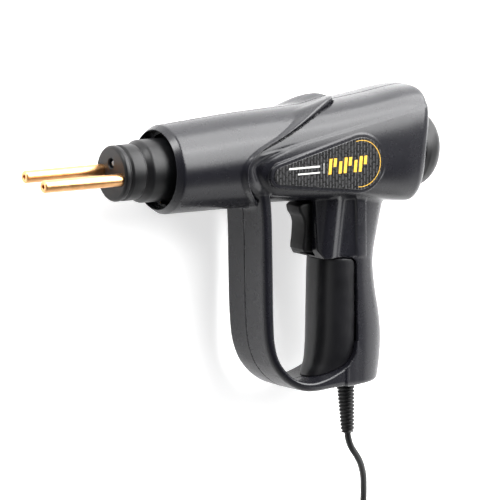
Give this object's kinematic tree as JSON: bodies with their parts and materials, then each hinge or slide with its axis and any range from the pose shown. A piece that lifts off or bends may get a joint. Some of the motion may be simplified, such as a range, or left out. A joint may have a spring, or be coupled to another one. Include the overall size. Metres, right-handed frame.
{
  "type": "hot stapler plastic welding gun",
  "caption": "Pistol-shaped mains hot stapler that melts wire staples into cracked plastic: two brass electrodes in a stepped nose, clamshell body, finger guard, trigger and corded grip.",
  "frame": {"origin": "Centre of the bottom of the tool's box, without the free cord and plug: the tool lies on its right side on the plane z = 0.", "axes": "+X points back along the barrel, from the electrode tips to the rear cap; +Y points from the grip up to the barrel; +Z points out of the tool's left side, up from the surface it lies on."},
  "size_m": [0.2925, 0.365, 0.062],
  "materials": {
    "shell": "glossy slate-grey moulding",
    "dark_plastic": "matte black moulding",
    "soft_grip": "satin black grip moulding",
    "electrode_brass": "bright drawn brass rod",
    "clamp_brass": "milled brass",
    "copper": "bent copper bar",
    "steel": "zinc-plated steel",
    "lamination": "varnished core laminations",
    "winding": "enamelled copper wire",
    "lamp": "clear round lamp",
    "board": "green circuit board",
    "label": "black label with a thin yellow line",
    "cord": "black flexible cord jacket",
    "nylon": "natural nylon"
  },
  "bodies": {
    "root": {"housing_left": "shell", "housing_right": "shell", "rear_cap": "shell", "housing_screw_1": "steel", "housing_screw_2": "steel", "housing_screw_3": "steel", "housing_screw_4": "steel", "housing_screw_5": "steel", "housing_screw_6": "steel", "housing_screw_7": "steel", "label_left": "label", "label_right": "label", "nose_insulator": "dark_plastic", "electrode_left": "electrode_brass", "electrode_right": "electrode_brass", "electrode_clamp_left": "clamp_brass", "electrode_clamp_right": "clamp_brass", "clamp_screw_left": "steel", "clamp_screw_right": "steel", "led_lamp": "lamp", "led_board": "board", "transformer_core": "lamination", "coil_bobbin": "nylon", "primary_coil_upper": "winding", "primary_coil_lower": "winding", "secondary_bar": "copper", "thermal_cutout": "steel", "trigger_pin": "steel", "trigger_spring": "steel", "switch_body": "dark_plastic", "grip_insert": "soft_grip", "terminal_block": "nylon", "inner_cable": "cord", "wire_live": "cord", "wire_neutral": "cord", "wire_switched": "cord", "cable_clamp": "nylon", "cable_clamp_screw_1": "steel", "cable_clamp_screw_2": "steel", "strain_relief": "cord", "cord_lead": "cord", "cord_coil": "cord", "cord_tail": "cord", "cord_tie": "dark_plastic", "plug_body": "dark_plastic", "plug_pin_upper": "steel", "plug_pin_lower": "steel"},
    "trigger": {"trigger": "dark_plastic"},
    "plunger": {"switch_plunger": "nylon"}
  },
  "joints": [
    {"name": "trigger_pull", "type": "hinge", "parent": "root", "child": "trigger", "pos_m": [0.05475, 0.03638, 0.031], "axis": [0, 0, 1], "range_deg": [0, 10], "stiffness_Nm_per_rad": 0.4, "springref_deg": -5.73, "deforming": ["trigger_spring"]},
    {"name": "plunger_slide", "type": "slide", "parent": "root", "child": "plunger", "axis": [1, 0, 0], "range_m": [0, 0.0036]}
  ],
  "couplings": [
    {"joint": "plunger_slide", "follows": "trigger_pull", "m_per_rad": 0.0205}
  ]
}
